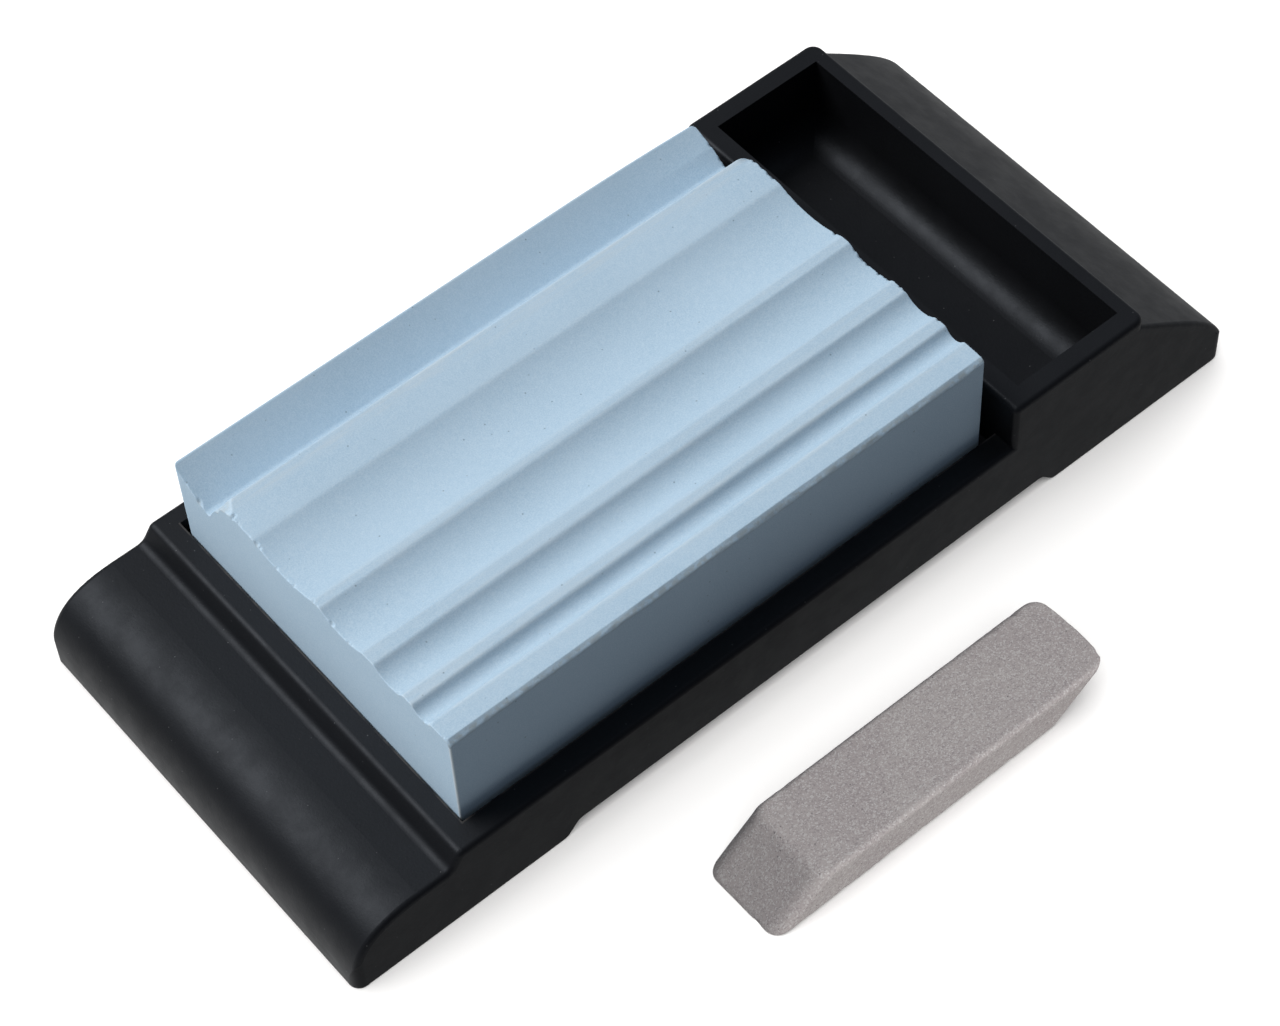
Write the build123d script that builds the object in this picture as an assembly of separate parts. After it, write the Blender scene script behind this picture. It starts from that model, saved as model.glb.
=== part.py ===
from build123d import *
import os

# Sharpening whetstone for carving tools: a moulded holder with a trough, a shaped whetstone that
# lies in it, a loose slip stone beside it, and four rubber pads under the ends of the holder.
# All sizes are in millimetres. "Along" runs the length of the holder from the left grip to the
# trough end, "across" runs from the near side to the far side, and heights start at the bench.

# Holder
HOLDER_LENGTH = 191.2
HOLDER_WIDTH = 84.0
GRIP_HEIGHT = 14.7
RIM_HEIGHT = 17.8
TROUGH_HEIGHT = 28.2
CORNER_RADIUS = 2.0
EDGE_RADIUS = 1.0
WALL = 2.6

# Left grip: its nose curves up from a short upright face. The two pulls say how far the curve
# runs straight at its foot and at its top, as shares of its height and its length.
NOSE_LENGTH = 14.0
NOSE_FOOT = 2.4
NOSE_FOOT_PULL = 0.57
NOSE_TOP_PULL = 0.72
COVE_START = 20.3
COVE_END = 22.5
COVE_RADIUS = 2.0
RIM_RADIUS = 1.4

# Right grip: one long curve from the trough's wall down to the bench
SLOPE_TOP = 25.5
SLOPE_SHOULDER = (12.4, 9.4)
SLOPE_INSET = 1.25
JOIN = 166.5
SLOPE_KNEE = 9.8
SLOPE_FOOT = 4.2
TOE_RADIUS = 2.2

# The middle of the underside is raised, so that the holder stands on its two ends
PAD_PROUD = 0.25
ARCH_HEIGHT = 3.1
ARCH_START = 42.8
ARCH_END = 150.4
ARCH_RAMP = 2.6
ARCH_RADIUS = 1.8

# Pocket that the whetstone lies in
POCKET_START = 26.4
POCKET_NEAR = 4.6
POCKET_FAR = 80.4
SEAT_HEIGHT = 14.2

# Trough that the slip stone is stored in
TROUGH_START = 140.1
TROUGH_END = 170.1
TROUGH_CORNER = 2.2
WELL_START = 144.0
WELL_END = 167.0
WELL_NEAR = 4.0
WELL_FAR = 80.0
WELL_FLOOR = 12.4
WELL_FILLET = 5.5
WELL_DRAFT = 1.5

# Stiffening under the holder
RIB = 1.8
RIB_LIFT = 1.5
RIB_ALONG = (28.0, 56.0)
RIB_ACROSS = (50.0, 76.0, 102.0, 128.0)

# Rubber pads, one near each corner
PAD_DIAMETER = 11.0
PAD_THICKNESS = 1.6
PAD_BEVEL = 0.4
PAD_CLEARANCE = 0.1
PAD_SEAT_WALL = 1.6
PAD_INSET = 13.0

# Whetstone: straight grooves run its whole length. Places in its end view count from its far edge.
STONE_START = 26.65
STONE_LENGTH = 110.7
STONE_NEAR = 5.4
STONE_WIDTH = 73.2
STONE_TOP = 39.6
FAR_PEAK = 37.2
V_FLOOR = (8.3, 9.2)
V_FLOOR_HEIGHT = 31.4
RISE_END = 14.2
LAND_END_HEIGHT = 39.2
HOLLOWS = ((22.9, 38.7, 1.7), (40.3, 51.4, 1.6), (54.2, 61.6, 1.6), (64.0, 68.2, 1.5))
CREST_RADIUS = 2.0
RIDGE_RADIUS = 0.6

# Slip stone: a bar whose two ends slope the same way. Its length is between its sharp corners.
SLIP_START = 53.2
SLIP_NEAR = -36.8
SLIP_LENGTH = 77.0
SLIP_WIDTH = 17.7
SLIP_THICKNESS = 8.5
SLIP_END_RUN = 10.5
SLIP_EDGE = 1.3

ON_BENCH = (Align.CENTER, Align.CENTER, Align.MIN)

# Two places closer than this are the same place, and cutting shapes overlap by the margin
NEGLIGIBLE = 0.01
MARGIN = 1.0

# The frame's origin is on the bench, below the middle of the set's outline
ORIGIN = Vector(HOLDER_LENGTH / 2, (HOLDER_WIDTH + SLIP_NEAR) / 2, 0)


def outline(*lines):
    """A flat face in the upright plane that runs along the holder."""
    return Plane.XZ * make_face(lines)


def across(face, near, far):
    """The face, pushed out across the holder from near to far."""
    return Pos(0, near, 0) * extrude(face, far - near, dir=(0, 1, 0))


def round_points(face, points, radius):
    """Rounds the corners of an upright face that lie nearest to the given points."""
    corners = [
        min(face.vertices(), key=lambda v, p=p: abs(v.X - p[0]) + abs(v.Z - p[1]))
        for p in points
    ]
    return fillet(corners, radius)


def block(start, end, near, far, low, high):
    """A square-edged block between two corners."""
    size = (end - start, far - near, high - low)
    middle = ((start + end) / 2, (near + far) / 2, (low + high) / 2)
    return Pos(*middle) * Box(*size)


def rounded_prism(start, end, near, far, radius, low, high):
    """An upright prism whose plan is a rounded rectangle."""
    plan = RectangleRounded(end - start, far - near, radius)
    return Pos((start + end) / 2, (near + far) / 2, low) * extrude(plan, high - low)


def upright_edges(solid, along):
    """The solid's straight upright edges at one place along the holder."""
    return [e for e in solid.edges() | Axis.Z if abs(e.center().X - along) < NEGLIGIBLE]


def grip_end(inset):
    """The left grip's nose as a curve, moved inwards by an inset."""
    foot = (inset, NOSE_FOOT)
    top = (NOSE_LENGTH, GRIP_HEIGHT - inset)
    foot_handle = (inset, NOSE_FOOT + NOSE_FOOT_PULL * (top[1] - NOSE_FOOT))
    top_handle = (NOSE_LENGTH - NOSE_TOP_PULL * (NOSE_LENGTH - inset), top[1])
    return Bezier(foot, foot_handle, top_handle, top)


def slope_end(inset):
    """The right grip's slope as a curve from the trough down, moved inwards by an inset."""
    end = HOLDER_LENGTH - inset
    top = SLOPE_TOP - SLOPE_INSET * inset
    shoulder = (TROUGH_END + SLOPE_SHOULDER[0], top - SLOPE_SHOULDER[1])
    return Bezier((TROUGH_END, top), shoulder, (end, SLOPE_KNEE), (end, SLOPE_FOOT))


def main_side():
    """The side view of the holder from its left end to just inside the trough's end wall."""
    low = PAD_PROUD
    arch = (
        (ARCH_END, low),
        (ARCH_END - ARCH_RAMP, ARCH_HEIGHT),
        (ARCH_START + ARCH_RAMP, ARCH_HEIGHT),
        (ARCH_START, low),
    )
    face = outline(
        Line((0, low), (0, NOSE_FOOT)),
        grip_end(0),
        Polyline(
            (NOSE_LENGTH, GRIP_HEIGHT),
            (COVE_START, GRIP_HEIGHT),
            (COVE_END, RIM_HEIGHT),
            (JOIN, RIM_HEIGHT),
            (JOIN, low),
            *arch,
            (0, low),
        ),
    )
    face = round_points(face, [(COVE_START, GRIP_HEIGHT)], COVE_RADIUS)
    face = round_points(face, [(COVE_END, RIM_HEIGHT)], RIM_RADIUS)
    return round_points(face, arch, ARCH_RADIUS)


def right_side():
    """The side view of the right grip. Its slope starts inside the trough's end wall."""
    low = PAD_PROUD
    end = HOLDER_LENGTH
    top = (JOIN, SLOPE_TOP + (TROUGH_END - JOIN) * SLOPE_SHOULDER[1] / SLOPE_SHOULDER[0])
    return outline(
        Line(top, (TROUGH_END, SLOPE_TOP)),
        slope_end(0),
        Polyline((end, SLOPE_FOOT), (end, low), (JOIN, low), top),
    )


def rounded_slab(side):
    """The side view pushed out to the holder's width, with its upper edges and ends rounded."""
    slab = across(side, 0, HOLDER_WIDTH)
    keep = []
    for edge in slab.edges():
        box = edge.bounding_box()
        in_side = box.size.Y < NEGLIGIBLE
        at_end = box.min.X < NEGLIGIBLE or box.max.X > HOLDER_LENGTH - NEGLIGIBLE
        over_arch = box.max.Z > ARCH_HEIGHT + NEGLIGIBLE and box.size.X > NEGLIGIBLE
        along_bench = box.max.Z < PAD_PROUD + NEGLIGIBLE
        if in_side and (at_end or over_arch) and not along_bench:
            keep.append(edge)
    slab = fillet(keep, EDGE_RADIUS)
    return slab & rounded_prism(
        0, HOLDER_LENGTH, 0, HOLDER_WIDTH, CORNER_RADIUS, 0, TROUGH_HEIGHT
    )


def round_toe():
    """A block that holds the right grip, with its lower end edge rounded to the toe's radius."""
    around = block(JOIN, HOLDER_LENGTH, 0, HOLDER_WIDTH, PAD_PROUD, TROUGH_HEIGHT)
    low_edges = around.faces().sort_by(Axis.Z)[0].edges()
    return fillet(low_edges.sort_by(Axis.X)[-1], TOE_RADIUS)


def trough_box():
    """The trough's outside, as a solid block that stands up through the holder."""
    box = block(TROUGH_START, TROUGH_END, 0, HOLDER_WIDTH, ARCH_HEIGHT, TROUGH_HEIGHT)
    box = fillet(upright_edges(box, TROUGH_END), TROUGH_CORNER)
    box = fillet(upright_edges(box, TROUGH_START), EDGE_RADIUS)
    return fillet(box.faces().sort_by(Axis.Z)[-1].edges(), EDGE_RADIUS)


def well():
    """The space inside the trough, with drafted walls and a rounded floor."""
    width = WELL_FAR - WELL_NEAR
    mouth = Rectangle(WELL_END - WELL_START, width)
    depth = TROUGH_HEIGHT - WELL_FLOOR
    space = extrude(Rot(180, 0, 0) * mouth, depth, taper=WELL_DRAFT)
    space = fillet(space.faces().sort_by(Axis.Z)[0].edges(), WELL_FILLET)
    middle = ((WELL_START + WELL_END) / 2, (WELL_NEAR + WELL_FAR) / 2, TROUGH_HEIGHT)
    return Pos(*middle) * space


def pad_places():
    """The four pads' names and the middle of each, seen from above."""
    for end, along in (("left", PAD_INSET), ("right", HOLDER_LENGTH - PAD_INSET)):
        for side, over in (("near", PAD_INSET), ("far", HOLDER_WIDTH - PAD_INSET)):
            yield f"foot_pad_{end}_{side}", along, over


def hollow():
    """What the underside of the moulding leaves out: its cavity, less the ribs and pad seats."""
    roof = SEAT_HEIGHT - WALL
    under_well = WELL_FLOOR - WALL
    wall_in = WELL_START - WALL
    wall_out = WELL_END + WALL
    end = HOLDER_LENGTH - WALL
    slope = slope_end(WALL)
    slope_top = slope @ 0
    nose = grip_end(WALL)
    nose_top = nose @ 1
    side = outline(
        Line((WALL, -MARGIN), (WALL, NOSE_FOOT)),
        nose,
        Polyline(
            (nose_top.X, nose_top.Y),
            (nose_top.X + MARGIN, roof),
            (wall_in, roof),
            (wall_in, under_well),
            (wall_out, under_well),
            (wall_out, slope_top.Y),
            (slope_top.X, slope_top.Y),
        ),
        slope,
        Polyline((end, SLOPE_FOOT), (end, -MARGIN), (WALL, -MARGIN)),
    )
    cavity = across(side, WALL, HOLDER_WIDTH - WALL)
    rib_foot = ARCH_HEIGHT + RIB_LIFT
    stiffening = Part()
    for over in RIB_ALONG:
        stiffening += block(0, wall_in, over - RIB / 2, over + RIB / 2, rib_foot, roof + MARGIN)
    for along in RIB_ACROSS:
        stiffening += block(
            along - RIB / 2, along + RIB / 2, 0, HOLDER_WIDTH, rib_foot, roof + MARGIN
        )
    seat_radius = PAD_DIAMETER / 2 + PAD_CLEARANCE + PAD_SEAT_WALL
    for _, along, over in pad_places():
        seat = Cylinder(seat_radius, TROUGH_HEIGHT, align=ON_BENCH)
        stiffening += Pos(along, over, PAD_PROUD) * seat
    return cavity - stiffening


def holder():
    """The black moulding: two grips, a rim round the pocket, and the trough."""
    right_grip = rounded_slab(right_side()) & round_toe()
    shell = rounded_slab(main_side()) + right_grip + trough_box()
    shell -= block(
        POCKET_START, TROUGH_START, POCKET_NEAR, POCKET_FAR, SEAT_HEIGHT, TROUGH_HEIGHT
    )
    shell -= well()
    shell -= hollow()
    recess = Cylinder(
        PAD_DIAMETER / 2 + PAD_CLEARANCE, PAD_THICKNESS, align=ON_BENCH
    )
    for _, along, over in pad_places():
        shell -= Pos(along, over, 0) * recess
    return shell


def foot_pad():
    """One rubber pad, with its middle at the origin and its face on the bench."""
    pad = Cylinder(PAD_DIAMETER / 2, PAD_THICKNESS, align=ON_BENCH)
    return chamfer(pad.faces().sort_by(Axis.Z)[0].edges(), PAD_BEVEL)


def stone_section():
    """The whetstone's end view: a long slope down to a V groove, a flat land and four hollows."""
    far = STONE_NEAR + STONE_WIDTH
    land_start = (far - RISE_END, STONE_TOP)
    land_end = (far - HOLLOWS[0][0], LAND_END_HEIGHT)
    lines = [
        Polyline(
            (far, SEAT_HEIGHT),
            (far, FAR_PEAK),
            (far - V_FLOOR[0], V_FLOOR_HEIGHT),
            (far - V_FLOOR[1], V_FLOOR_HEIGHT),
            land_start,
            land_end,
        )
    ]
    ridge = land_end
    for start, end, depth in HOLLOWS:
        near_ridge = (far - end, STONE_TOP)
        if start != HOLLOWS[0][0]:
            lines.append(Line(ridge, (far - start, STONE_TOP)))
            ridge = (far - start, STONE_TOP)
        floor = (far - (start + end) / 2, STONE_TOP - depth)
        lines.append(ThreePointArc(ridge, floor, near_ridge))
        ridge = near_ridge
    lines.append(
        Polyline(ridge, (STONE_NEAR, STONE_TOP), (STONE_NEAR, SEAT_HEIGHT), (far, SEAT_HEIGHT))
    )
    face = make_face(lines)
    crest = [v for v in face.vertices() if abs(v.X - land_start[0]) < NEGLIGIBLE]
    face = fillet(crest, CREST_RADIUS)
    ridges = [
        v
        for v in face.vertices()
        if v.Y > STONE_TOP - MARGIN and abs(v.X - land_start[0]) > 2 * CREST_RADIUS
    ]
    return fillet(ridges, RIDGE_RADIUS)


def whetstone():
    """The whetstone, resting on the floor of the pocket."""
    bar = extrude(Plane.YZ * stone_section(), STONE_LENGTH, dir=(1, 0, 0))
    return Pos(STONE_START, 0, 0) * bar


def slip_stone():
    """The slip stone, lying on the bench beside the holder."""
    low_right = SLIP_LENGTH - SLIP_END_RUN
    side = outline(
        Polyline(
            (0, 0),
            (low_right, 0),
            (SLIP_LENGTH, SLIP_THICKNESS),
            (SLIP_END_RUN, SLIP_THICKNESS),
            (0, 0),
        )
    )
    bar = across(side, 0, SLIP_WIDTH)
    bar = fillet(bar.edges(), SLIP_EDGE)
    return Pos(SLIP_START, SLIP_NEAR, 0) * bar


def write(shape, node):
    """Writes one node in the set's frame."""
    export_step(Pos(*(-ORIGIN)) * shape, f"parts/{node}.step")


write(holder(), "holder")
write(whetstone(), "whetstone")
write(slip_stone(), "slip_stone")
for name, pad_along, pad_over in pad_places():
    write(Pos(pad_along, pad_over, 0) * foot_pad(), name)
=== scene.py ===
"""Looks of a profiled whetstone in its black holder, with a small slip stone beside it."""

import math

import bpy
import numpy as np
from mathutils import Matrix, Vector


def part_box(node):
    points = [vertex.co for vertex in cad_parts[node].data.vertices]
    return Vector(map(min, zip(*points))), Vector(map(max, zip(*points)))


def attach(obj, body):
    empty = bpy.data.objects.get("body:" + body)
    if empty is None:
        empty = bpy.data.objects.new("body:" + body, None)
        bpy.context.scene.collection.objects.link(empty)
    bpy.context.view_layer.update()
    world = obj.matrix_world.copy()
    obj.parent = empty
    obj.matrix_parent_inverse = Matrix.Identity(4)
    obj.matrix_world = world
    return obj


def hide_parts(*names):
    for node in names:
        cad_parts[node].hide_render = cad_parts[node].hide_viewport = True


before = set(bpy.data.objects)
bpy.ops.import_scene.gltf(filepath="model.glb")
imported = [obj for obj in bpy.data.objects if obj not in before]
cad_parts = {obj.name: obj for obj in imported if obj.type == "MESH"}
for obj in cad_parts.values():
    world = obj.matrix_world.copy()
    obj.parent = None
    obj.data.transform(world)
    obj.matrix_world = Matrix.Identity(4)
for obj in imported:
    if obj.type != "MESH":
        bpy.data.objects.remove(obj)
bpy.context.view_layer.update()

MM = 0.001
TINY = 1e-9

STONE_LOW, STONE_HIGH = (np.array(corner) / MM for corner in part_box("whetstone"))
SLIP_LOW, SLIP_HIGH = (np.array(corner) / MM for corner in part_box("slip_stone"))

# Every random draw starts from its own seed.
SEED_DRIFT = 3
SEED_CHAMFER = 5
SEED_LEFT_CHIPS = 11
SEED_RIGHT_CHIPS = 15
SEED_BREAK = 17
SEED_NEAR_CHIPS = 19
SEED_GRAIN = 21
SEED_LUMPS = 22
SEED_NICKS = 23


# ---------------------------------------------------------------- mesh helpers

GRIT_SPAN = 64
CHIP_PITCH = 0.9
CHIP_FINE_PITCH = 0.33
CHIP_FINE_SHARE = 0.55
CHIP_LEAST = 0.15


def spread(length, step, edge, fine):
    """Places from 0 to length, about a step apart, and closer together within edge of both ends."""
    ends = np.linspace(0, edge, max(2, math.ceil(edge / fine)) + 1)
    middle = np.linspace(edge, length - edge, max(2, round((length - 2 * edge) / step)) + 1)
    return np.concatenate((ends[:-1], middle, length - ends[::-1][1:]))


def box_shell(xs, ys, zs):
    """A closed quad mesh over the box that the three lists of places span: its points and faces."""
    size = (len(xs), len(ys), len(zs))
    number = -np.ones(size, int)
    on_shell = np.zeros(size, bool)
    for axis in range(3):
        for end in (0, -1):
            face = [slice(None)] * 3
            face[axis] = end
            on_shell[tuple(face)] = True
    number[on_shell] = np.arange(on_shell.sum())
    where = np.argwhere(on_shell)
    points = np.stack((xs[where[:, 0]], ys[where[:, 1]], zs[where[:, 2]]), axis=1)
    faces = []
    for axis in range(3):
        for end, flip in ((0, True), (-1, False)):
            face = [slice(None)] * 3
            face[axis] = end
            grid = number[tuple(face)]
            if axis == 1:
                flip = not flip
            a, b = grid[:-1, :-1].ravel(), grid[1:, :-1].ravel()
            c, d = grid[1:, 1:].ravel(), grid[:-1, 1:].ravel()
            faces.append(np.stack((a, d, c, b) if flip else (a, b, c, d), axis=1))
    return points, np.concatenate(faces)


def ease(value):
    """0 to 1 with a soft start and a soft finish."""
    value = np.clip(value, 0, 1)
    return value * value * (3 - 2 * value)


def fade(distance, reach):
    """1 where a distance is 0, falling in a straight line to 0 at the reach."""
    return np.clip(1 - distance / reach, 0, 1)


def wander(places, pitch, seed):
    """A smooth random line from -1 to 1 over the places, with a new direction about every pitch."""
    draw = np.random.default_rng(seed)
    first = places.min() - pitch
    count = int((places.max() - first) / pitch) + 3
    heights = draw.uniform(-1, 1, count)
    along = (places - first) / pitch
    cell = along.astype(int)
    blend = ease(along - cell)
    return heights[cell] * (1 - blend) + heights[cell + 1] * blend


def grit(points, size, seed):
    """Smooth random bumps from -1 to 1 over the points, about a size across."""
    draw = np.random.default_rng(seed)
    lattice = draw.uniform(-1, 1, (GRIT_SPAN, GRIT_SPAN, GRIT_SPAN))
    place = points / size
    cell = np.floor(place).astype(int)
    part = ease(place - cell)
    total = np.zeros(len(points))
    for corner in np.ndindex(2, 2, 2):
        weight = np.ones(len(points))
        for axis in range(3):
            share = part[:, axis]
            weight = weight * (share if corner[axis] else 1 - share)
        at = (cell + corner) % GRIT_SPAN
        total += weight * lattice[at[:, 0], at[:, 1], at[:, 2]]
    return total


def onto_arc(first, second, radius):
    """Moves the square corner where two distances from an edge are small onto a round one."""
    a, b = np.maximum(radius - first, 0), np.maximum(radius - second, 0)
    shrink = np.maximum(a, b) / np.maximum(np.hypot(a, b), TINY)
    corner = (a > 0) & (b > 0)
    return np.where(corner, radius - a * shrink, first), np.where(corner, radius - b * shrink, second)


def chips(places, reach, seed):
    """How deep an edge is broken along its places: short, ragged bites with whole edge between."""
    bites = wander(places, CHIP_PITCH, seed)
    bites = bites + CHIP_FINE_SHARE * wander(places, CHIP_FINE_PITCH, seed + 1)
    return reach * np.clip(bites - CHIP_LEAST, 0, 1)


def piece(name, points, faces, body, node, material, attributes=()):
    """A smooth mesh in millimetres that rides on a body and stands for a CAD node."""
    mesh = bpy.data.meshes.new(name)
    mesh.from_pydata((points * MM).tolist(), [], faces.tolist())
    for label, values in attributes:
        layer = mesh.attributes.new(label, "FLOAT", "POINT")
        layer.data.foreach_set("value", values.astype(np.float32))
    mesh.shade_smooth()
    made = bpy.data.objects.new(name, mesh)
    bpy.context.scene.collection.objects.link(made)
    mesh.materials.append(material)
    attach(made, body)
    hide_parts(node)
    return made


# ---------------------------------------------------------------- node helpers


class Graph:
    """A short way to add nodes to a node tree and join them."""

    def __init__(self, tree):
        self.tree = tree

    def add(self, kind, inputs=(), **settings):
        """A new shader node with its settings, and its inputs joined to sockets or set to values."""
        node = self.tree.nodes.new("ShaderNode" + kind)
        for key, value in settings.items():
            setattr(node, key, value)
        for key, value in inputs:
            self.feed(node.inputs[key], value)
        return node

    def feed(self, socket, value):
        """Joins a socket to another one, or gives it a value."""
        if isinstance(value, bpy.types.NodeSocket):
            self.tree.links.new(value, socket)
        else:
            socket.default_value = value

    def ramp(self, value, low, high, start=0.0, end=1.0):
        """Maps low..high onto start..end, softly, and holds it beyond."""
        return self.add(
            "MapRange",
            ((0, value), (1, low), (2, high), (3, start), (4, end)),
            interpolation_type="SMOOTHSTEP",
        ).outputs[0]

    def math(self, operation, first, second=0.0):
        """The result of one Math node."""
        return self.add("Math", ((0, first), (1, second)), operation=operation).outputs[0]

    def times(self, first, second):
        """The product of two values."""
        return self.math("MULTIPLY", first, second)

    def tint(self, colour, mask, other, share=None):
        """One colour laid over another where a mask says, by a share of it."""
        if share is not None:
            mask = self.times(mask, share)
        return self.add("MixRGB", (("Fac", mask), ("Color1", colour), ("Color2", other))).outputs[0]


class Surface(Graph):
    """The nodes of one new material. Sizes are in millimetres on the object."""

    def __init__(self, name, roughness, specular):
        self.material = bpy.data.materials.new(name)
        self.material.use_nodes = True
        super().__init__(self.material.node_tree)
        self.shader = self.tree.nodes["Principled BSDF"]
        self.shader.inputs["Roughness"].default_value = roughness
        self.shader.inputs["Specular IOR Level"].default_value = specular
        self.place = self.add("TexCoord").outputs["Object"]

    def stretched(self, along):
        """The place on the object, scaled along its length, so that a pattern turns into streaks."""
        scale = (along, 1, 1)
        return self.add("VectorMath", ((0, self.place), (1, scale)), operation="MULTIPLY").outputs[0]

    def noise(self, size, detail=2.0, roughness=0.5, place=None):
        """Noise from about 0.3 to 0.7 whose bumps are about a size across."""
        return self.add(
            "TexNoise",
            (
                ("Vector", place or self.place),
                ("Scale", 1 / (size * MM)),
                ("Detail", detail),
                ("Roughness", roughness),
            ),
        ).outputs["Fac"]

    def cells(self, size):
        """Voronoi cells about a size across: the distance to each middle in sizes, and two random
        numbers for each cell."""
        node = self.add("TexVoronoi", (("Vector", self.place), ("Scale", 1 / (size * MM))))
        random = self.add("SeparateColor", ((0, node.outputs["Color"]),)).outputs
        return node.outputs["Distance"], random[0], random[1]

    def dot(self, distance, size, core, rim):
        """1 within a core of each cell's middle, falling to 0 at its rim."""
        return self.ramp(distance, core / size, rim / size, 1, 0)

    def bump(self, height, depth, normal=None):
        """The normal over a height map, or over another one."""
        inputs = [("Height", height), ("Distance", depth * MM)]
        if normal:
            inputs.append(("Normal", normal))
        return self.add("Bump", inputs).outputs[0]

    def finish(self, colour, normal, roughness=None):
        """Joins the results to the shader and gives the material."""
        self.feed(self.shader.inputs["Base Color"], colour)
        self.feed(self.shader.inputs["Normal"], normal)
        if roughness:
            self.feed(self.shader.inputs["Roughness"], roughness)
        return self.material


def grey(level, warm=0.0):
    """A grey that leans to red by a share."""
    return (level * (1 + warm), level, level * (1 - warm), 1)


# ------------------------------------------------------------------ materials

RIM_TOP = 17.8
POCKET_LEFT = -69.2
POCKET_NEAR = -19.0
POCKET_FAR = 56.8
FLASH = 0.22
FLASH_HEIGHT = (0.05, 0.1)
FLASH_SHARE = 0.5
FLASH_COLOUR = (0.110, 0.098, 0.088, 1)

PLASTIC_SHEEN = (0.85, 0.91, 1, 1)
PLASTIC_DARK = (0.0046, 0.0046, 0.0051, 1)
PLASTIC_PALE = (0.0066, 0.0067, 0.0077, 1)
PLASTIC_RUBBED = (0.0090, 0.0095, 0.0110, 1)
PLASTIC_GRAIN = (0.0090, 0.0095, 0.0115, 1)
DUST_COLOUR = grey(0.22)
DUST_CORE, DUST_RIM = 0.07, 0.14
DUST_FADE = 0.04
# Each kind of dust: the size of its cells, the least random number that makes a speck, its share.
DUST = ((2.7, 0.60, 0.42), (1.6, 0.78, 0.26))

STONE_DARK = (0.335, 0.462, 0.572, 1)
STONE_PALE = (0.365, 0.492, 0.602, 1)
STONE_GRAIN = (0.462, 0.570, 0.655, 1)
STONE_MOTTLE = (0.28, 0.41, 0.52, 1)
STONE_SCUFFED = (0.50, 0.545, 0.565, 1)
STONE_SPECK = (0.15, 0.20, 0.24, 1)
STONE_BRUISED = (0.28, 0.31, 0.31, 1)
# The pale line on the near-left upright edge: a painted highlight, with chalk.
STONE_CHALK_AND_HIGHLIGHT = (0.68, 0.74, 0.76, 1)
SPECK_CORE, SPECK_RIM = 0.09, 0.22
SPECK_FADE = 0.3
SPECK_SHARE = 0.68
# Each kind of speck: the size of its cells, and the least random number that makes one.
SPECKS = ((2.2, 0.58), (4.3, 0.30))

SLIP_DARK = (0.276, 0.246, 0.240, 1)
SLIP_PALE = (0.300, 0.272, 0.262, 1)
SLIP_GLINT = grey(0.44, 0.03)
SLIP_SHADE = (0.160, 0.138, 0.146, 1)
SLIP_PORE = (0.060, 0.052, 0.056, 1)
SLIP_GRIT = 0.22
PORE_CELL = 1.5
PORE_CORE, PORE_RIM = 0.075, 0.18

RUBBER_COLOUR = grey(0.022)
RUBBER_DUST = grey(0.06, 0.02)


def pocket_flash(m):
    """1 on the thin line that moulding left along the pocket's left and near edges, else 0."""
    x, y, z = m.add("SeparateXYZ", ((0, m.place),)).outputs
    above = m.math("ABSOLUTE", m.math("SUBTRACT", z, RIM_TOP * MM))
    left = m.math("ABSOLUTE", m.math("SUBTRACT", x, (POCKET_LEFT - FLASH / 2) * MM))
    near = m.math("ABSOLUTE", m.math("SUBTRACT", y, (POCKET_NEAR - FLASH / 2) * MM))
    line = m.ramp(m.math("MINIMUM", left, near), FLASH / 2 * MM, FLASH * MM, 1, 0)
    for place, edge in ((x, POCKET_LEFT), (y, POCKET_NEAR)):
        line = m.times(line, m.ramp(place, (edge - 2 * FLASH) * MM, (edge - FLASH) * MM))
    line = m.times(line, m.ramp(y, POCKET_FAR * MM, (POCKET_FAR + FLASH) * MM, 1, 0))
    return m.times(line, m.ramp(above, FLASH_HEIGHT[0] * MM, FLASH_HEIGHT[1] * MM, 1, 0))


def plastic():
    """Satin black moulding: a fine texture, faint rub marks and a little dust."""
    m = Surface("holder_plastic", roughness=0.5, specular=0.28)
    m.shader.inputs["Specular Tint"].default_value = PLASTIC_SHEEN
    shade = m.ramp(m.noise(38, detail=3), 0.3, 0.7)
    colour = m.tint(PLASTIC_DARK, shade, PLASTIC_PALE)
    rubbed = m.ramp(m.noise(9, detail=4, roughness=0.6, place=m.stretched(0.25)), 0.52, 0.75)
    colour = m.tint(colour, rubbed, PLASTIC_RUBBED, share=0.3)
    grain = m.ramp(m.noise(0.3, roughness=0.6), 0.5, 0.8)
    colour = m.tint(colour, grain, PLASTIC_GRAIN, share=0.5)
    for size, least, share in DUST:
        distance, pick, _ = m.cells(size)
        dot = m.dot(distance, size, DUST_CORE, DUST_RIM)
        speck = m.times(dot, m.ramp(pick, least, least + DUST_FADE))
        colour = m.tint(colour, speck, DUST_COLOUR, share)
    flash = m.times(pocket_flash(m), m.ramp(m.noise(6, detail=4, roughness=0.7), 0.36, 0.6))
    colour = m.tint(colour, flash, FLASH_COLOUR, FLASH_SHARE)
    rough = m.ramp(m.noise(5, detail=5, roughness=0.65), 0.3, 0.7, start=0.46, end=0.54)
    fine = m.bump(m.noise(0.45), depth=0.02)
    return m.finish(colour, m.bump(m.noise(0.16, detail=1), 0.01, fine), rough)


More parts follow.
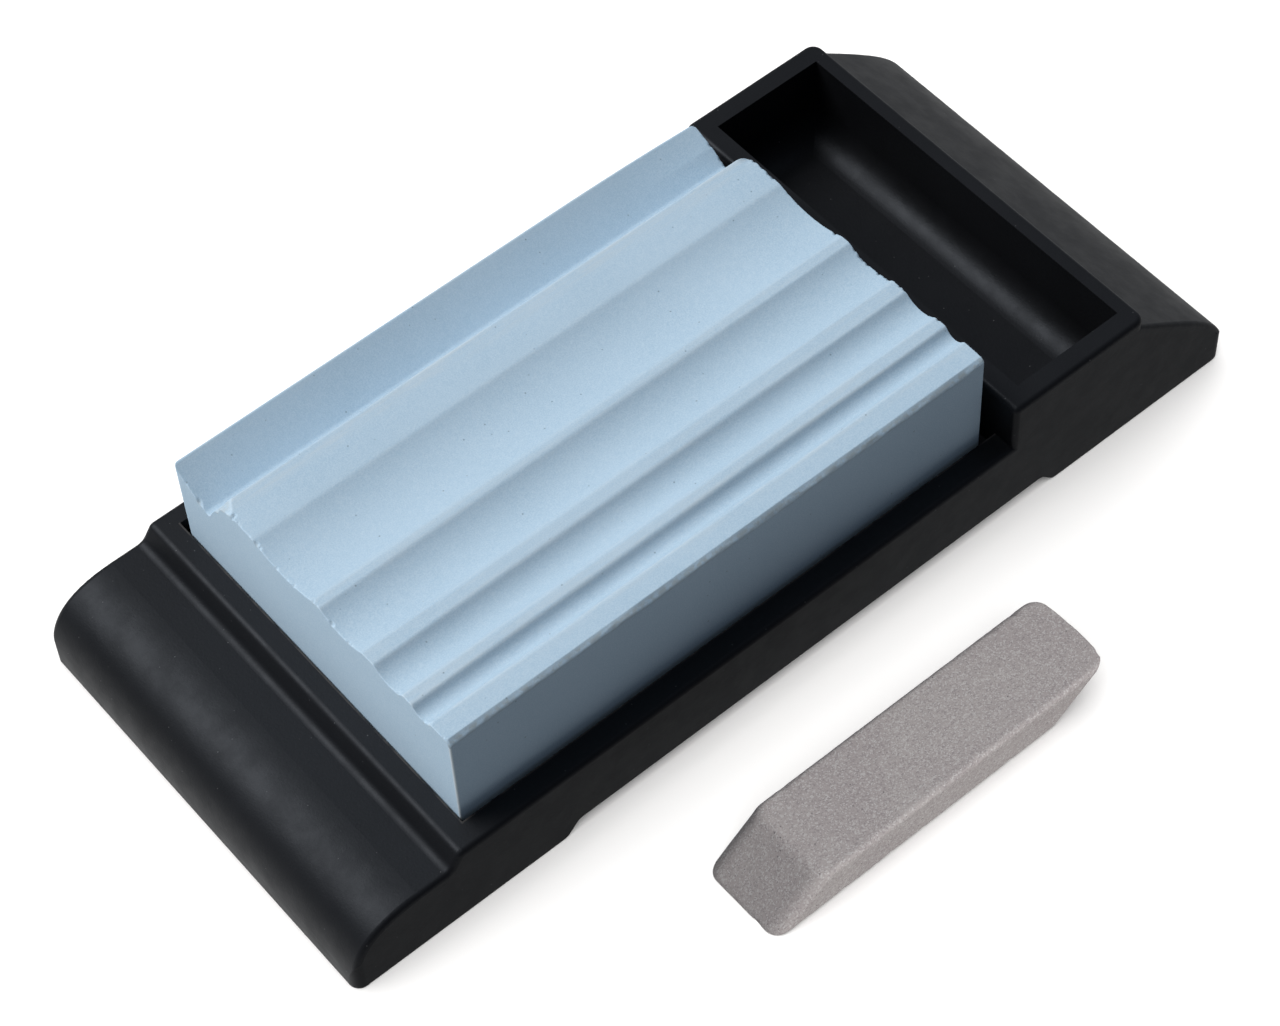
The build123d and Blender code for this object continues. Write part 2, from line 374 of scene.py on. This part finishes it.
def blue_stone():
    """Fine man-made waterstone: pale blue, with tiny dark specks and scuffed, paler ridges."""
    m = Surface("whetstone", roughness=0.85, specular=0.25)
    colour = m.tint(STONE_DARK, m.ramp(m.noise(26, detail=3), 0.3, 0.7), STONE_PALE)
    grain = m.ramp(m.noise(0.26, detail=3, roughness=0.8), 0.4, 0.6)
    colour = m.tint(colour, grain, STONE_GRAIN, share=0.68)
    mottle = m.ramp(m.noise(1.3, detail=3, roughness=0.7), 0.35, 0.65)
    colour = m.tint(colour, mottle, STONE_MOTTLE, share=0.12)
    scuffed = m.add("Attribute", attribute_name="scuffed").outputs["Fac"]
    streaks = m.ramp(m.noise(0.7, detail=4, roughness=0.7, place=m.stretched(0.07)), 0.35, 0.65)
    colour = m.tint(colour, m.times(scuffed, streaks), STONE_SCUFFED, share=0.45)
    for size, least in SPECKS:
        distance, pick, _ = m.cells(size)
        dot = m.dot(distance, size, SPECK_CORE, SPECK_RIM)
        speck = m.times(dot, m.ramp(pick, least, least + SPECK_FADE))
        colour = m.tint(colour, speck, STONE_SPECK, SPECK_SHARE)
    bruised = m.add("Attribute", attribute_name="bruised").outputs["Fac"]
    patchy = m.times(bruised, m.ramp(m.noise(1.2, detail=3, roughness=0.6), 0.35, 0.6))
    colour = m.tint(colour, patchy, STONE_BRUISED, share=0.7)
    # A pale line painted on the near-left upright edge: painted highlight, with chalk.
    chalk_and_highlight = m.add("Attribute", attribute_name="chalk_and_highlight").outputs["Fac"]
    colour = m.tint(colour, chalk_and_highlight, STONE_CHALK_AND_HIGHLIGHT, share=0.85)
    return m.finish(colour, m.bump(m.noise(0.3, detail=3, roughness=0.7), depth=0.035))


def grey_stone():
    """Coarse silicon carbide stick: bonded grit whose faces glint, with small dark pores."""
    m = Surface("slip_stone", roughness=0.75, specular=0.4)
    colour = m.tint(SLIP_DARK, m.ramp(m.noise(14, detail=3), 0.3, 0.7), SLIP_PALE)
    distance, pick, _ = m.cells(SLIP_GRIT)
    colour = m.tint(colour, m.ramp(pick, 0.62, 1.0, start=0, end=0.55), SLIP_GLINT)
    colour = m.tint(colour, m.ramp(pick, 0.0, 0.3, start=0.5, end=0), SLIP_SHADE)
    pore_distance, _, pore_pick = m.cells(PORE_CELL)
    pore = m.dot(pore_distance, PORE_CELL, PORE_CORE, PORE_RIM)
    pore = m.times(pore, m.ramp(pore_pick, 0.55, 0.7))
    colour = m.tint(colour, pore, SLIP_PORE, share=0.7)
    glint = m.ramp(pick, 0.9, 1.0, start=0.78, end=0.30)
    grains = m.bump(m.ramp(distance, 0, 0.6, start=1, end=0), depth=0.03)
    return m.finish(colour, m.bump(m.noise(0.9), 0.03, grains), glint)


def rubber():
    """Matt dark rubber of the foot pads, with a little dust in its surface."""
    m = Surface("pad_rubber", roughness=0.8, specular=0.3)
    dust = m.ramp(m.noise(1.6, detail=4, roughness=0.6), 0.45, 0.75)
    colour = m.tint(RUBBER_COLOUR, dust, RUBBER_DUST, share=0.5)
    rough = m.ramp(m.noise(0.8, detail=3), 0.3, 0.7, start=0.72, end=0.88)
    return m.finish(colour, m.bump(m.noise(0.35), depth=0.02), rough)


# ------------------------------------------------------------------ whetstone

# "Over" is the distance from the stone's far edge, "along" the one from its left end.
FAR_PEAK_DROP = 3.2
GROOVE_DROP = 8.2
GROOVE = (8.3, 9.2)
CREST = 14.2
LAND_END_DROP = 0.4
# Each hollow: where it starts and ends over the stone, and its depth.
HOLLOWS = ((22.9, 38.7, 1.7), (40.3, 51.4, 1.6), (54.2, 61.6, 1.6), (64.0, 68.2, 1.5))
CREST_SOFTNESS = 0.1
RIDGE_SOFTNESS = 0.3
BROAD_SOFTNESS = 1.2
# Where the crest's softness turns into the ridges', past the crest, and over how much.
SOFTER_FROM, SOFTER_OVER = 2, 3
SECTION_STEP = 0.05
SECTION_MARGIN = 8

# The mesh's step along, over and up, and how far from its edges it is finer.
STONE_STEPS = ((0.7, 3), (0.22, 1.6), (1.2, 1.4))
STONE_FINE = 0.1
STONE_EDGE = 0.13
FAR_CORNER = 1.4
NEAR_CORNER = 0.3

DRIFT = 0.12
DRIFT_PITCH = 34
DRIFT_OVER = ((15, 25, 68, 73), (0, 1, 1, 0))
LEFT_WEAR, RIGHT_WEAR, NEAR_WEAR = 0.05, 0.08, 0.1
END_CHIPS, RIGHT_CHIP_SHARE, NEAR_CHIPS = 0.5, 0.8, 0.25
CHIP_SLOPE = 0.8
LEFT_CHIPS_OVER = ((0, 9, 11, 18, 24, 73), (1, 1, 1.6, 1.6, 1, 1))
BREAK = ((11.6, 12.4, 14.2, 15.6, 17.0), (0, 0.9, 1.5, 0.8, 0))
BREAK_SLOPE = 0.55
BREAK_PITCH = 0.8
CREST_END_REACH, CREST_END_BREADTH, CREST_END_DEPTH = 2.6, 2.2, 1.3
FAR_ROUNDING = 0.5
FAR_ROUNDING_DROP = 0.3
FAR_RIGHT_WEAR = 1.1
FAR_RIGHT_REACH = 30
FAR_RIGHT_BREADTH = 0.6 * GROOVE[0]
NEAR_CHAMFER = 0.9
CHAMFER_SLOPE = 0.8
CHAMFER_PITCH = 5
RAGGED = 0.3
WORN_ABOVE = 0.3

TOP_SHARE = 0.985
BRUISE_FROM_EDGE, BRUISE_BREADTH = 0.35, 0.6
BRUISE_LEAST, BRUISE_GAIN, BRUISE_LEFT_SHARE = 0.1, 3, 0.6
SCUFF_GAIN = 2.4
DUSTY_FROM_CREST, DUSTY_BREADTH, DUSTY_SHARE = 1.6, 1.8, 0.8
# Where the near-left upright edge gets its pale line of painted highlight and chalk.
CHALK_HIGHLIGHT_START, CHALK_HIGHLIGHT_REACH = 1.6, 0.25
CHALK_HIGHLIGHT_BELOW = 0.99


def hollow_drop(over, start, end, depth):
    """How far a hollow ground by a round tool lies below the ridges beside it."""
    half = (end - start) / 2
    radius = (half * half + depth * depth) / (2 * depth)
    from_middle = np.clip(over - (start + end) / 2, -half, half)
    return np.sqrt(radius * radius - from_middle**2) - (radius - depth)


def section_drop(over):
    """How far the stone's top lies below its highest ridge, by the distance from the far edge."""
    width = STONE_HIGH[1] - STONE_LOW[1]
    corners = (0, GROOVE[0], GROOVE[1], CREST, HOLLOWS[0][0], HOLLOWS[0][1], width)
    drops = (FAR_PEAK_DROP, GROOVE_DROP, GROOVE_DROP, 0, LAND_END_DROP, 0, 0)
    drop = np.interp(over, corners, drops)
    for start, end, depth in HOLLOWS:
        drop += hollow_drop(over, start, end, depth)
    return drop


def soft_section(over, softness):
    """The section's drop over the stone, blurred so that its ridges and valleys are rounded."""
    width = STONE_HIGH[1] - STONE_LOW[1]
    sample = np.arange(-SECTION_MARGIN, width + SECTION_MARGIN, SECTION_STEP)
    reach = np.arange(-4 * softness, 4 * softness + SECTION_STEP, SECTION_STEP)
    kernel = np.exp(-0.5 * (reach / softness) ** 2)
    drop = section_drop(np.clip(sample, 0, width))
    return np.interp(over, sample, np.convolve(drop, kernel / kernel.sum(), "same"))


def stone_block():
    """The unworn block's points from its low corner, with rounded corners and edges, and its faces."""
    size = STONE_HIGH - STONE_LOW
    coarser = 1
    points, faces = box_shell(
        *(
            spread(length, step * coarser, edge, STONE_FINE * coarser)
            for length, (step, edge) in zip(size, STONE_STEPS)
        )
    )
    middle = size / 2
    side = np.sign(points - middle)
    gap = middle - np.abs(points - middle)
    corner = np.where(side[:, 1] > 0, FAR_CORNER, NEAR_CORNER)
    gap[:, 0], gap[:, 1] = onto_arc(gap[:, 0], gap[:, 1], corner)
    for level in (0, 1):
        gap[:, level], gap[:, 2] = onto_arc(gap[:, level], gap[:, 2], STONE_EDGE)
    return middle + side * (middle - gap), faces


def left_wear(along, over):
    """How much of the left end's top edge is chipped away, with the piece broken off the crest."""
    bites = chips(over, END_CHIPS, SEED_LEFT_CHIPS) * np.interp(over, *LEFT_CHIPS_OVER)
    worn = np.maximum(LEFT_WEAR + bites - CHIP_SLOPE * along, 0)
    broken = np.interp(over, *BREAK) * (1 + RAGGED * wander(over, BREAK_PITCH, SEED_BREAK))
    return np.maximum(worn, broken - BREAK_SLOPE * along)


def right_wear(from_right, over):
    """How much of the right end's top edge is chipped away, with the crest's rounded end."""
    bites = RIGHT_CHIP_SHARE * chips(over, END_CHIPS, SEED_RIGHT_CHIPS)
    worn = np.maximum(RIGHT_WEAR + bites - CHIP_SLOPE * from_right, 0)
    crest = ease(1 - np.abs(over - CREST) / CREST_END_BREADTH)
    return np.maximum(worn, CREST_END_DEPTH * fade(from_right, CREST_END_REACH) ** 2 * crest)


def far_wear(from_right, over):
    """How much the far edge is rounded, and worn toward its right end."""
    rounding = FAR_ROUNDING_DROP * fade(over, FAR_ROUNDING) ** 2
    to_right = fade(from_right, FAR_RIGHT_REACH) ** 2
    return rounding + FAR_RIGHT_WEAR * to_right * fade(over, FAR_RIGHT_BREADTH)


def near_wear(along, over, width):
    """How much of the near edge is chipped away."""
    bites = chips(along, NEAR_CHIPS, SEED_NEAR_CHIPS)
    return np.maximum(NEAR_WEAR + bites - CHIP_SLOPE * (width - over), 0)


def whetstone_mesh(material):
    """The stone: its ground section along its length, its worn edges, its marks and a painted edge
    highlight.
    """
    length, width, height = STONE_HIGH - STONE_LOW
    points, faces = stone_block()
    along, over, up = points[:, 0], width - points[:, 1], points[:, 2]

    blend = ease((over - CREST - SOFTER_FROM) / SOFTER_OVER)
    crisp, soft = soft_section(over, CREST_SOFTNESS), soft_section(over, RIDGE_SOFTNESS)
    section = crisp * (1 - blend) + soft * blend
    ridge = np.clip(soft_section(over, BROAD_SOFTNESS) - section, 0, 1)

    drift = DRIFT * wander(along, DRIFT_PITCH, SEED_DRIFT) * np.interp(over, *DRIFT_OVER)
    left = left_wear(along, over)
    drop = section + drift + left + right_wear(length - along, over)
    drop = drop + near_wear(along, over, width) + far_wear(length - along, over)
    chamfer = np.clip(over - (width - NEAR_CHAMFER), 0, None) * CHAMFER_SLOPE
    chamfer = chamfer * (1 + RAGGED * wander(along, CHAMFER_PITCH, SEED_CHAMFER))
    drop = np.maximum(drop + chamfer, 0)

    share = up / height
    up = up * (1 - drop / height * ease((share - WORN_ABOVE) / (1 - WORN_ABOVE)))

    on_top = share > TOP_SHARE
    bruised_near = fade(np.abs(over - (width - BRUISE_FROM_EDGE)), BRUISE_BREADTH)
    bruised_left = BRUISE_LEFT_SHARE * np.clip((left - BRUISE_LEAST) * BRUISE_GAIN, 0, 1)
    bruised = np.maximum(bruised_near, bruised_left) * on_top
    dusty = DUSTY_SHARE * fade(np.abs(over - CREST - DUSTY_FROM_CREST), DUSTY_BREADTH)
    scuffed = np.maximum(np.clip(ridge * SCUFF_GAIN, 0, 1), dusty) * on_top
    # A pale line painted along the near-left upright edge, below the top: painted highlight and chalk.
    from_corner = along + width - over
    chalk_and_highlight = np.clip(CHALK_HIGHLIGHT_START - from_corner / CHALK_HIGHLIGHT_REACH, 0, 1) * (share < CHALK_HIGHLIGHT_BELOW)
    marks = (("scuffed", scuffed), ("bruised", bruised), ("chalk_and_highlight", chalk_and_highlight))

    points = np.stack((along, width - over, up), axis=1) + STONE_LOW
    return piece("whetstone_profiled", points, faces, "whetstone", "whetstone", material, marks)


# ----------------------------------------------------------------- slip stone

SLIP_RUN = 10.5
SLIP_ROUND = 1.0
SLIP_CORNER = 2.8
SLIP_BULGE = 0.7
SLIP_SLACK = 0.3
SLIP_STEP = 0.34
# How deep the grain lies in the skin, the sizes and shares of its two kinds, and its middle level.
SLIP_GRAIN = 0.03
SLIP_SKIN = 0.3
GRAIN_SIZE, LUMP_SIZE, LUMP_SHARE = 0.42, 1.3, 0.8
GRAIN_LEVEL = 1.8
# The nicks in its edges: their size, the least bump that makes one, their reach and their depth.
NICK_SIZE, NICK_LEAST, NICK_REACH, NICK_DEPTH = 2.4, 0.35, 1.3, 0.5


def slip_mesh(material):
    """The slip stone: an upright bar with rounded corners and nicked edges, then leant over."""
    length, width, height = SLIP_HIGH - SLIP_LOW
    width -= SLIP_SLACK
    run = SLIP_RUN / height
    tip = SLIP_ROUND * (1 + run - math.hypot(1, run))
    level = length - SLIP_RUN + 2 * tip
    step = SLIP_STEP
    xs = spread(level, step, SLIP_CORNER, step)
    ys = spread(width, step, SLIP_CORNER, step)
    zs = spread(height, step, SLIP_ROUND, step / 2)
    box, faces = box_shell(xs, ys, zs)
    middle = np.array((level, width, height)) / 2
    side = np.sign(box - middle)
    gap = middle - np.abs(box - middle)

    corner = np.maximum(SLIP_CORNER - gap[:, :2], 0)
    reach = np.linalg.norm(corner, axis=1)
    squeeze = corner.max(axis=1) / np.maximum(reach, TINY)
    plan = SLIP_CORNER - corner * squeeze[:, None]
    gap[:, :2] = np.where(corner.min(axis=1)[:, None] > 0, plan, gap[:, :2])
    inward = np.maximum(SLIP_CORNER - gap[:, :2], 0)
    reach = np.linalg.norm(inward, axis=1)
    inside = np.where(reach > 0, SLIP_CORNER - reach, SLIP_CORNER)
    rim, depth = onto_arc(inside, gap[:, 2], SLIP_ROUND)
    gap[:, :2] += inward / np.maximum(reach, TINY)[:, None] * (rim - inside)[:, None]
    gap[:, 2] = depth

    bumps = grit(box, GRAIN_SIZE, SEED_GRAIN) + LUMP_SHARE * grit(box, LUMP_SIZE, SEED_LUMPS)
    rough = SLIP_GRAIN * (bumps + GRAIN_LEVEL) * fade(np.minimum(rim, depth), SLIP_SKIN)
    nick = np.clip(grit(box, NICK_SIZE, SEED_NICKS) - NICK_LEAST, 0, 1)
    nick = NICK_DEPTH * nick * fade(np.maximum(inside, gap[:, 2]), NICK_REACH)
    gap += (rough + nick)[:, None] * (np.maximum(SLIP_ROUND - gap, 0) / SLIP_ROUND)

    points = middle + side * (middle - gap)
    across = (points[:, 1] / width - 0.5) * 2
    at_right = ease(points[:, 0] / level * 4 - 3)
    points[:, 0] -= SLIP_BULGE * across**2 * at_right
    points[:, 0] += run * points[:, 2] - tip
    points[:, 1] += SLIP_SLACK
    points += SLIP_LOW
    return piece("slip_stone_grit", points, faces, "slip_stone", "slip_stone", material)


# ---------------------------------------------------------------------- stage

FLOOR_REACH = 3000
FLOOR_COLOUR = (0.95, 0.93, 0.905, 1)
FLOOR_ROUGHNESS = 0.9
FLOOR_SPECULAR = 0.1

# What the world shows by direction: the room's light, and the table's strength below the horizon.
SKY = (0.20, 0.225, 0.262, 1)
SKY_NEAR = (0.075, 0.085, 0.105, 1)
BELOW_UNDER = 0.16
BELOW_NEAR = 0.78
BELOW_HORIZON = 0.22
BELOW_FAR = 0.95
BELOW_RIGHT = 0.55
# Between which heights, or places to the far side or the right, each one turns into the next.
UNDER_TO_NEAR = (-0.75, -0.45)
NEAR_TO_HORIZON = (-0.42, -0.12)
NEAR_TO_FAR = (-0.45, 0.35)
LEFT_TO_RIGHT = (0.5, 0.95)
SKY_NEAR_TO_FAR = (-0.6, 0.0)
SKY_TO_TABLE = (0.0, -0.25)

CAMERA_AIM = (-9.35, 9.37, 15.0)
CAMERA_AZIMUTH = -36.97
CAMERA_ELEVATION = 54.83
CAMERA_ROLL = -3.62
CAMERA_DISTANCE = 585.0
CAMERA_LENS = 98.87
CAMERA_SENSOR = 36
CAMERA_CLIP = 0.05


def toward(azimuth, elevation):
    """The unit vector to a place seen at an azimuth (0 in front, 90 at the right) and elevation."""
    a, e = math.radians(azimuth), math.radians(elevation)
    return Vector((math.sin(a) * math.cos(e), -math.cos(a) * math.cos(e), math.sin(e)))


def floor():
    """White paper that carries the shadows, and that the object neither mirrors nor is lit by."""
    mesh = bpy.data.meshes.new("floor")
    r = FLOOR_REACH * MM
    mesh.from_pydata([(-r, -r, 0), (r, -r, 0), (r, r, 0), (-r, r, 0)], [], [(0, 1, 2, 3)])
    made = bpy.data.objects.new("floor", mesh)
    bpy.context.scene.collection.objects.link(made)
    material = bpy.data.materials.new("paper")
    material.use_nodes = True
    shader = material.node_tree.nodes["Principled BSDF"]
    shader.inputs["Base Color"].default_value = FLOOR_COLOUR
    shader.inputs["Roughness"].default_value = FLOOR_ROUGHNESS
    shader.inputs["Specular IOR Level"].default_value = FLOOR_SPECULAR
    mesh.materials.append(material)
    made.visible_diffuse = False
    made.visible_glossy = False
    made.visible_shadow = False
    return made


def soft_box(name, azimuth, elevation, distance, size, power, lit):
    """A square area light, in metres and watts, aimed at the object and lighting only some pieces."""
    data = bpy.data.lights.new(name, "AREA")
    data.shape = "SQUARE"
    data.size = size
    data.energy = power
    lamp = bpy.data.objects.new(name, data)
    bpy.context.scene.collection.objects.link(lamp)
    away = toward(azimuth, elevation)
    lamp.location = away * distance
    lamp.rotation_euler = away.to_track_quat("Z", "Y").to_euler()
    receivers = bpy.data.collections.new(name + "_lights")
    for made in lit:
        receivers.objects.link(made)
    lamp.light_linking.receiver_collection = receivers


def surroundings():
    """A dim room, with the brighter table seen below the horizon, except on the near side."""
    world = bpy.data.worlds.new("studio")
    bpy.context.scene.world = world
    world.use_nodes = True
    g = Graph(world.node_tree)
    place = g.add("TexCoord").outputs["Generated"]
    x, y, z = g.add("SeparateXYZ", ((0, place),)).outputs
    front = g.ramp(z, *UNDER_TO_NEAR, BELOW_UNDER, BELOW_NEAR)
    front = g.ramp(z, *NEAR_TO_HORIZON, front, BELOW_HORIZON)
    table = g.ramp(y, *NEAR_TO_FAR, front, BELOW_FAR)
    table = g.times(table, g.ramp(x, *LEFT_TO_RIGHT, 1, BELOW_RIGHT))
    sky = g.tint(SKY_NEAR, g.ramp(y, *SKY_NEAR_TO_FAR), SKY)
    background = world.node_tree.nodes["Background"]
    background.inputs["Strength"].default_value = 1
    g.feed(background.inputs["Color"], g.tint(sky, g.ramp(z, *SKY_TO_TABLE), table))


def camera():
    """The camera that was fitted to the photograph's straight edges."""
    data = bpy.data.cameras.new("camera")
    data.lens = CAMERA_LENS
    data.sensor_fit = "HORIZONTAL"
    data.sensor_width = CAMERA_SENSOR
    data.clip_start = CAMERA_CLIP
    made = bpy.data.objects.new("camera", data)
    bpy.context.scene.collection.objects.link(made)
    back = toward(CAMERA_AZIMUTH, CAMERA_ELEVATION)
    level = Vector((-back.y, back.x, 0)).normalized()
    above = back.cross(level)
    roll = math.radians(CAMERA_ROLL)
    right = level * math.cos(roll) + above * math.sin(roll)
    up = back.cross(right)
    place = Matrix((right, up, back)).transposed().to_4x4()
    place.translation = (Vector(CAMERA_AIM) + back * CAMERA_DISTANCE) * MM
    made.matrix_world = place
    bpy.context.scene.camera = made


# ----------------------------------------------------------------------- main


def dress(node, material):
    """Gives a CAD node one material."""
    node.data.materials.clear()
    node.data.materials.append(material)


dress(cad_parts["holder"], plastic())
pad_finish = rubber()
for name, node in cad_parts.items():
    if name.startswith("foot_pad"):
        dress(node, pad_finish)

whetstone = whetstone_mesh(blue_stone())
slip = slip_mesh(grey_stone())
cad_nodes = list(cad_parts.values())

paper = floor()
surroundings()
soft_box("key", azimuth=-129, elevation=50, distance=2.6, size=3.4, power=121.0, lit=[whetstone])
soft_box("holder_key", azimuth=-145, elevation=52.5, distance=2.6, size=1.6, power=51, lit=cad_nodes)
everything = cad_nodes + [whetstone, slip]
soft_box("side", azimuth=120, elevation=16, distance=1.3, size=1.3, power=0.9, lit=everything)
soft_box("slip_key", azimuth=6, elevation=45, distance=1.2, size=0.8, power=20.0, lit=[slip])
soft_box("table", azimuth=-112, elevation=75, distance=1.2, size=3.0, power=60.0, lit=[paper])
camera()
bpy.context.scene.view_settings.view_transform = "Standard"
